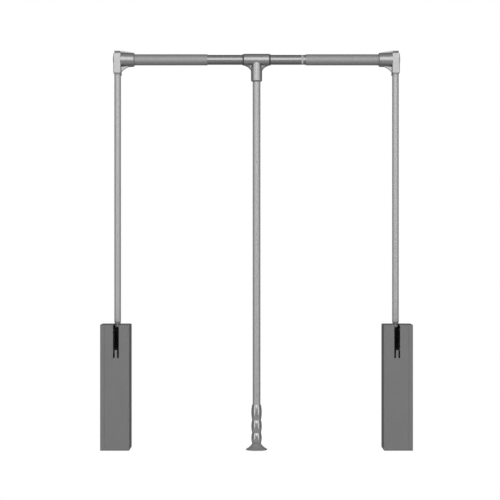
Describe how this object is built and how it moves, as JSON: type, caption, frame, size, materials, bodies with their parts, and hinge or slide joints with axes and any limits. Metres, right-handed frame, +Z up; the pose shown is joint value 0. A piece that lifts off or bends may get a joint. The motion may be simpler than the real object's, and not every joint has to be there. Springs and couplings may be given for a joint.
{
  "type": "pull down closet rod",
  "caption": "Wardrobe lift with spring housings on the cabinet walls, swinging arms, a telescopic hanging bar and a pull pole with grip that brings the bar down.",
  "frame": {"origin": "centre of the part's box, with the arms upright and the pole hanging", "axes": "+X along the bar to the viewer's right, +Y to the cabinet's back, +Z up"},
  "size_m": [0.695, 0.08, 0.898],
  "materials": {
    "housing_plastic": "fine moulded texture, mid grey",
    "arm_paint": "semi-matte silver powder coat on steel tube",
    "outer_tube_paint": "duller and darker silver coat on steel tube",
    "inner_tube_lacquer": "smooth satin grey lacquer on steel tube",
    "casting": "smooth satin grey lacquer on a zinc die casting",
    "lever_black": "black powder coat on a steel casting",
    "black_plastic": "moulded black",
    "pale_band": "pale tape",
    "grip_plastic": "glossy grey",
    "foot_plastic": "smooth moulded grey",
    "zinc_steel": "zinc plated",
    "dark_screw": "dark plated",
    "spring_steel": "oiled spring wire",
    "bush_plastic": "moulded bearing plastic",
    "bumper_rubber": "soft black"
  },
  "bodies": {
    "left_housing": {"left_wall_plate": "housing_plastic", "left_housing_shell": "housing_plastic", "left_housing_screws": "zinc_steel", "left_pivot_pin": "zinc_steel", "left_spring_bracket": "zinc_steel", "left_bracket_screws": "zinc_steel", "left_stop_bumper": "bumper_rubber", "left_spring": "spring_steel"},
    "left_arm": {"left_lever": "lever_black", "left_pivot_bushes": "bush_plastic", "left_crank_pin": "zinc_steel", "left_arm_tube": "arm_paint", "left_arm_rivet": "zinc_steel", "left_elbow": "casting", "left_elbow_cap": "housing_plastic", "left_elbow_screws": "dark_screw", "left_outer_tube": "outer_tube_paint"},
    "left_yoke": {"left_spring_yoke": "zinc_steel", "left_spring_cup": "zinc_steel", "left_lock_nut": "zinc_steel"},
    "right_housing": {"right_wall_plate": "housing_plastic", "right_housing_shell": "housing_plastic", "right_housing_screws": "zinc_steel", "right_pivot_pin": "zinc_steel", "right_spring_bracket": "zinc_steel", "right_bracket_screws": "zinc_steel", "right_stop_bumper": "bumper_rubber", "right_spring": "spring_steel"},
    "right_arm": {"right_lever": "lever_black", "right_pivot_bushes": "bush_plastic", "right_crank_pin": "zinc_steel", "right_arm_tube": "arm_paint", "right_arm_rivet": "zinc_steel", "right_elbow": "casting", "right_elbow_cap": "housing_plastic", "right_elbow_screws": "dark_screw", "right_outer_tube": "outer_tube_paint"},
    "right_yoke": {"right_spring_yoke": "zinc_steel", "right_spring_cup": "zinc_steel", "right_lock_nut": "zinc_steel"},
    "centre_bar": {"inner_tube": "inner_tube_lacquer", "inner_tube_plugs": "black_plastic", "left_stop_ring": "black_plastic", "right_stop_ring": "black_plastic", "width_mark_band": "pale_band"},
    "handle": {"t_connector": "casting", "pole_screw": "dark_screw", "pull_pole": "arm_paint", "grip": "grip_plastic", "pole_foot": "foot_plastic"}
  },
  "joints": [
    {"name": "swing", "type": "hinge", "parent": "left_housing", "child": "left_arm", "pos_m": [-0.3125, -0.011, -0.2245], "axis": [1, 0, 0], "range_deg": [0, 105], "stiffness_Nm_per_rad": 3.4, "springref_deg": -28.65, "deforming": ["left_spring"]},
    {"name": "width_adjust", "type": "slide", "parent": "left_housing", "child": "right_housing", "axis": [1, 0, 0], "range_m": [-0.15, 0.16]},
    {"name": "right_swing", "type": "hinge", "parent": "right_housing", "child": "right_arm", "pos_m": [0.3125, -0.011, -0.2245], "axis": [1, 0, 0], "range_deg": [0, 105], "stiffness_Nm_per_rad": 3.4, "springref_deg": -28.65, "deforming": ["right_spring"]},
    {"name": "bar_slide", "type": "slide", "parent": "left_arm", "child": "centre_bar", "axis": [1, 0, 0], "range_m": [-0.075, 0.08]},
    {"name": "left_yoke_pivot", "type": "hinge", "parent": "left_arm", "child": "left_yoke", "pos_m": [-0.3125, 0.00361, -0.24354], "axis": [1, 0, 0], "range_deg": [-105, 0]},
    {"name": "right_yoke_pivot", "type": "hinge", "parent": "right_arm", "child": "right_yoke", "pos_m": [0.3125, 0.00361, -0.24354], "axis": [1, 0, 0], "range_deg": [-105, 0]},
    {"name": "handle_swivel", "type": "hinge", "parent": "centre_bar", "child": "handle", "pos_m": [0, 0.014, 0.4285], "axis": [1, 0, 0], "continuous": true}
  ],
  "couplings": [
    {"joint": "right_swing", "follows": "swing", "ratio": 1},
    {"joint": "left_yoke_pivot", "follows": "swing", "ratio": -1},
    {"joint": "right_yoke_pivot", "follows": "swing", "ratio": -1},
    {"joint": "bar_slide", "follows": "width_adjust", "ratio": 0.5}
  ]
}
